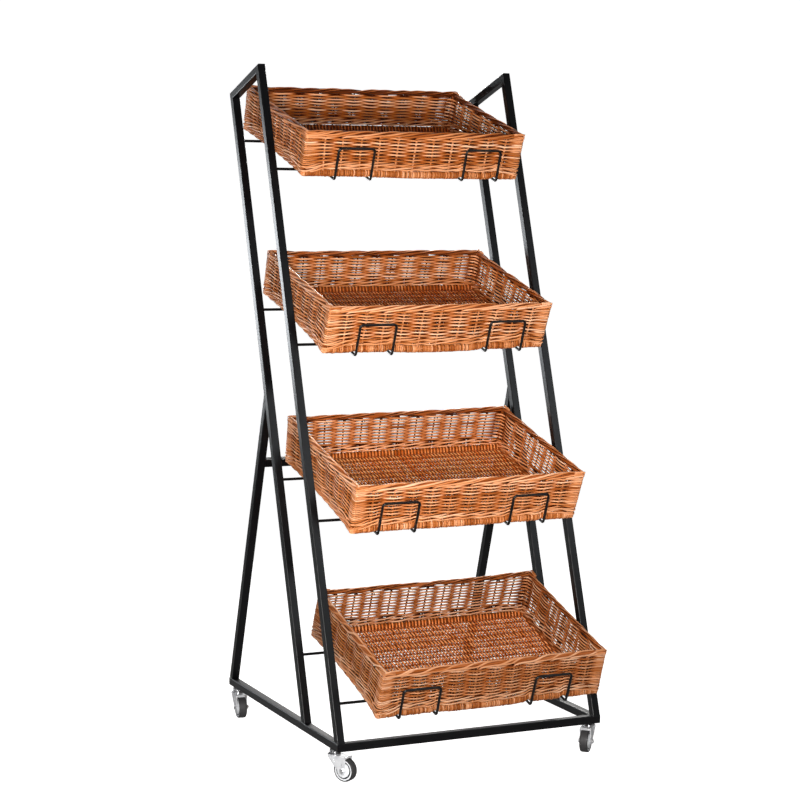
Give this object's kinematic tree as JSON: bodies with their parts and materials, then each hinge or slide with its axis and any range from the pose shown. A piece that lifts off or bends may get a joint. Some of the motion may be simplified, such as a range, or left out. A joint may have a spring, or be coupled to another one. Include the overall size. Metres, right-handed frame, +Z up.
{
  "type": "bakery bread rack",
  "caption": "Free-standing leaning rack of black square steel tube on swivel casters, with tipped rod shelves, wire stops and loose woven wicker bread baskets.",
  "frame": {"origin": "on the floor, under the middle of the rack", "axes": "+X to the right seen from the front, +Y to the rear, +Z up"},
  "size_m": [0.7342, 0.8721, 1.7006],
  "materials": {
    "frame_coat": "black powder coat, fine satin texture",
    "wire_coat": "black powder coat on round wire",
    "wicker": "woven willow, steamed brown, light satin lacquer",
    "zinc": "bright zinc plated pressed steel",
    "wheel_plastic": "light grey moulded plastic",
    "tyre": "dark grey non-marking rubber",
    "plug_plastic": "black moulded plastic",
    "bare_steel": "uncoated steel"
  },
  "bodies": {
    "frame": {"caster_front_left_stem": "zinc", "caster_front_right_stem": "zinc", "caster_rear_left_stem": "zinc", "caster_rear_right_stem": "zinc", "caster_weld_nuts": "bare_steel", "front_base_rail": "frame_coat", "left_base_rail": "frame_coat", "left_brace_leg": "frame_coat", "left_front_post": "frame_coat", "left_rear_post": "frame_coat", "left_top_tube": "frame_coat", "rail_end_plugs": "plug_plastic", "rear_cross_rail": "frame_coat", "right_base_rail": "frame_coat", "right_brace_leg": "frame_coat", "right_front_post": "frame_coat", "right_rear_post": "frame_coat", "right_top_tube": "frame_coat", "shelf1_front_rod": "frame_coat", "shelf1_rear_rod": "frame_coat", "shelf1_stop_left": "wire_coat", "shelf1_stop_right": "wire_coat", "shelf2_front_rod": "frame_coat", "shelf2_rear_rod": "frame_coat", "shelf2_stop_left": "wire_coat", "shelf2_stop_right": "wire_coat", "shelf3_front_rod": "frame_coat", "shelf3_rear_rod": "frame_coat", "shelf3_stop_left": "wire_coat", "shelf3_stop_right": "wire_coat", "shelf4_front_rod": "frame_coat", "shelf4_rear_rod": "frame_coat", "shelf4_stop_left": "wire_coat", "shelf4_stop_right": "wire_coat"},
    "basket_1": {"basket_1": "wicker"},
    "basket_2": {"basket_2": "wicker"},
    "basket_3": {"basket_3": "wicker"},
    "basket_4": {"basket_4": "wicker"},
    "fork_front_left": {"caster_front_left_axle_bolt": "zinc", "caster_front_left_axle_nut": "zinc", "caster_front_left_fork": "zinc"},
    "wheel_front_left": {"caster_front_left_tyre": "tyre", "caster_front_left_wheel_core": "wheel_plastic"},
    "fork_front_right": {"caster_front_right_axle_bolt": "zinc", "caster_front_right_axle_nut": "zinc", "caster_front_right_fork": "zinc"},
    "wheel_front_right": {"caster_front_right_tyre": "tyre", "caster_front_right_wheel_core": "wheel_plastic"},
    "fork_rear_left": {"caster_rear_left_axle_bolt": "zinc", "caster_rear_left_axle_nut": "zinc", "caster_rear_left_fork": "zinc"},
    "wheel_rear_left": {"caster_rear_left_tyre": "tyre", "caster_rear_left_wheel_core": "wheel_plastic"},
    "fork_rear_right": {"caster_rear_right_axle_bolt": "zinc", "caster_rear_right_axle_nut": "zinc", "caster_rear_right_fork": "zinc"},
    "wheel_rear_right": {"caster_rear_right_tyre": "tyre", "caster_rear_right_wheel_core": "wheel_plastic"}
  },
  "joints": [
    {"name": "basket_1_lift", "type": "slide", "parent": "frame", "child": "basket_1", "axis": [0, -0.302, 0.9533], "range_m": [0, 0.15]},
    {"name": "basket_2_lift", "type": "slide", "parent": "frame", "child": "basket_2", "axis": [0, -0.3026, 0.9531], "range_m": [0, 0.15]},
    {"name": "basket_3_lift", "type": "slide", "parent": "frame", "child": "basket_3", "axis": [0, -0.2961, 0.9551], "range_m": [0, 0.15]},
    {"name": "basket_4_lift", "type": "slide", "parent": "frame", "child": "basket_4", "axis": [0, -0.2951, 0.9555], "range_m": [0, 0.15]},
    {"name": "swivel_front_left", "type": "hinge", "parent": "frame", "child": "fork_front_left", "pos_m": [-0.3473, -0.3145, 0.0603], "axis": [0, 0, 1], "continuous": true},
    {"name": "roll_front_left", "type": "hinge", "parent": "fork_front_left", "child": "wheel_front_left", "pos_m": [-0.33155, -0.34178, 0.028], "axis": [0.866, 0.5, 0], "continuous": true},
    {"name": "swivel_front_right", "type": "hinge", "parent": "frame", "child": "fork_front_right", "pos_m": [0.3473, -0.3145, 0.0603], "axis": [0, 0, 1], "continuous": true},
    {"name": "roll_front_right", "type": "hinge", "parent": "fork_front_right", "child": "wheel_front_right", "pos_m": [0.32542, -0.33716, 0.028], "axis": [0.7193, -0.6947, 0], "continuous": true},
    {"name": "swivel_rear_left", "type": "hinge", "parent": "frame", "child": "fork_rear_left", "pos_m": [-0.3473, 0.3326, 0.0603], "axis": [0, 0, 1], "continuous": true},
    {"name": "roll_rear_left", "type": "hinge", "parent": "fork_rear_left", "child": "wheel_rear_left", "pos_m": [-0.35059, 0.30127, 0.028], "axis": [0.9945, -0.1045, 0], "continuous": true},
    {"name": "swivel_rear_right", "type": "hinge", "parent": "frame", "child": "fork_rear_right", "pos_m": [0.3473, 0.3326, 0.0603], "axis": [0, 0, 1], "continuous": true},
    {"name": "roll_rear_right", "type": "hinge", "parent": "fork_rear_right", "child": "wheel_rear_right", "pos_m": [0.33757, 0.30264, 0.028], "axis": [0.9511, -0.309, 0], "continuous": true}
  ]
}
